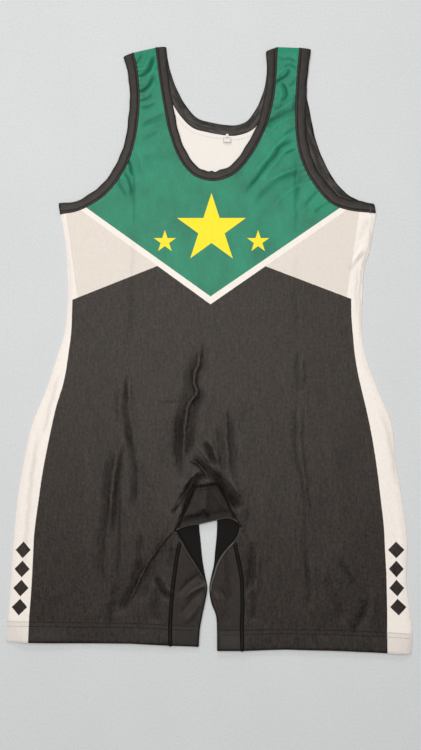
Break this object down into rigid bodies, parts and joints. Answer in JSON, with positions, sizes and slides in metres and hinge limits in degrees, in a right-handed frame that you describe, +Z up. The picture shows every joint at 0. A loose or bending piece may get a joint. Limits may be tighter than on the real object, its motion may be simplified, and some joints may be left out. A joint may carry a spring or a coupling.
{
  "type": "wrestling singlet",
  "caption": "Sleeveless one-piece stretch suit with straps, scooped neck and short legs, laid face up and flat on a surface.",
  "frame": {"origin": "on the surface it lies on, under the middle of the garment's box", "axes": "+Y towards the shoulders, +X to the right of someone looking down at the front, +Z up out of the surface"},
  "size_m": [0.5678, 0.8492, 0.0079],
  "materials": {
    "front_knit": "satin",
    "back_knit": "satin outside, matt white inside",
    "gusset_knit": "satin",
    "binding": "satin",
    "seam_thread": "matt",
    "label": "satin"
  },
  "bodies": {
    "root": {"back_panel": "back_knit", "front_panel": "front_knit", "crotch_gusset": "gusset_knit", "inner_leg_left": "gusset_knit", "inner_leg_right": "gusset_knit", "inseam_left": "seam_thread", "inseam_right": "seam_thread", "neck_binding": "binding", "armhole_binding_left": "binding", "armhole_binding_right": "binding", "size_label": "label"}
  },
  "joints": []
}
